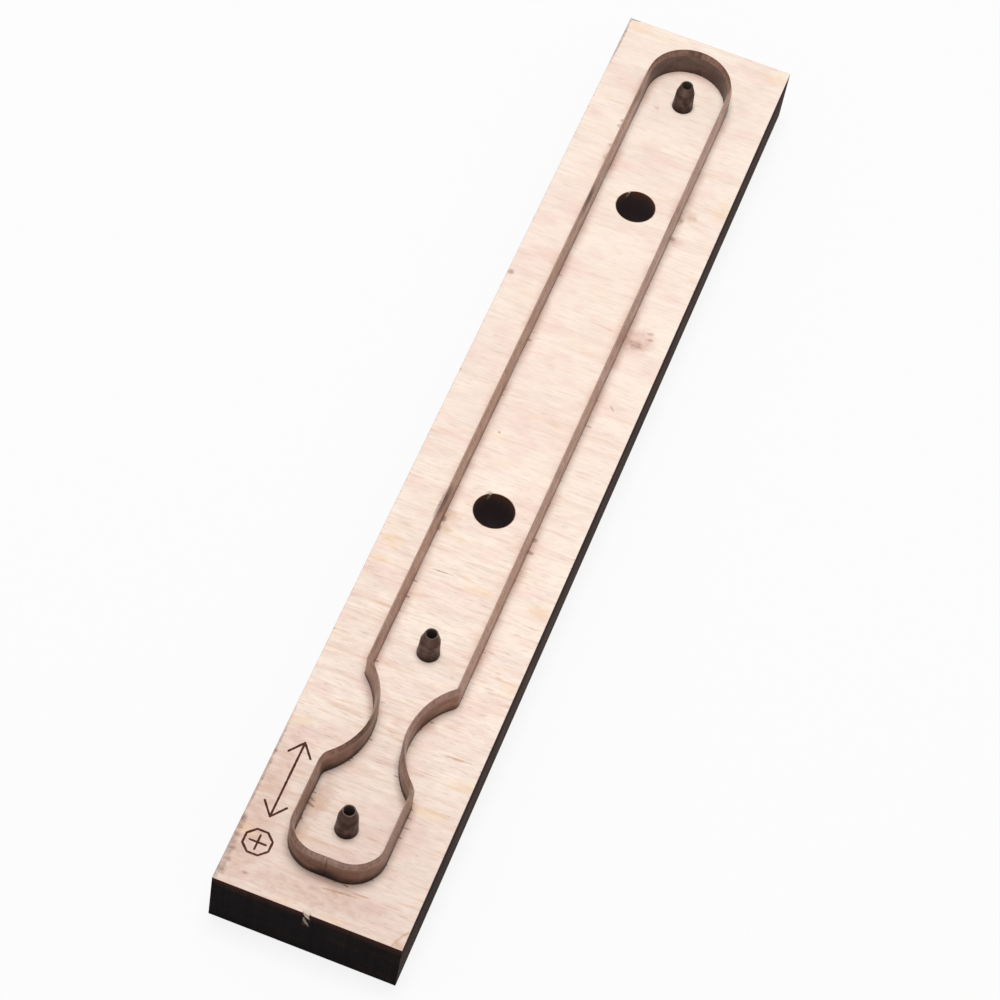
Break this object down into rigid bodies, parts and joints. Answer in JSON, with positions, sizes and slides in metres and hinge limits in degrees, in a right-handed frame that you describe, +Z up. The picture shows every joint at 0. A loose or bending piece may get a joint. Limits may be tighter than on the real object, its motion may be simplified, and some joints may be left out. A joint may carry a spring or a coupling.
{
  "type": "steel rule die",
  "caption": "Long plywood die board with a bent steel cutting rule in the outline of a round-ended strap with a necked tab, and hollow tube punches inside it.",
  "frame": {"origin": "middle of the die board's underside", "axes": "+Y along the board towards the strap's round end, +Z up to the cutting edges, +X to the right when the round end is away"},
  "size_m": [0.044, 0.278, 0.0238],
  "materials": {
    "board_plywood": "sanded birch veneer, laser-charred edges",
    "rule_steel": "blued, ground bevels",
    "punch_steel": "dark oiled, turned"
  },
  "bodies": {
    "root": {"die_board": "board_plywood", "cutting_rule": "rule_steel", "tube_punch_near": "punch_steel", "tube_punch_mid": "punch_steel", "tube_punch_far": "punch_steel"}
  },
  "joints": []
}
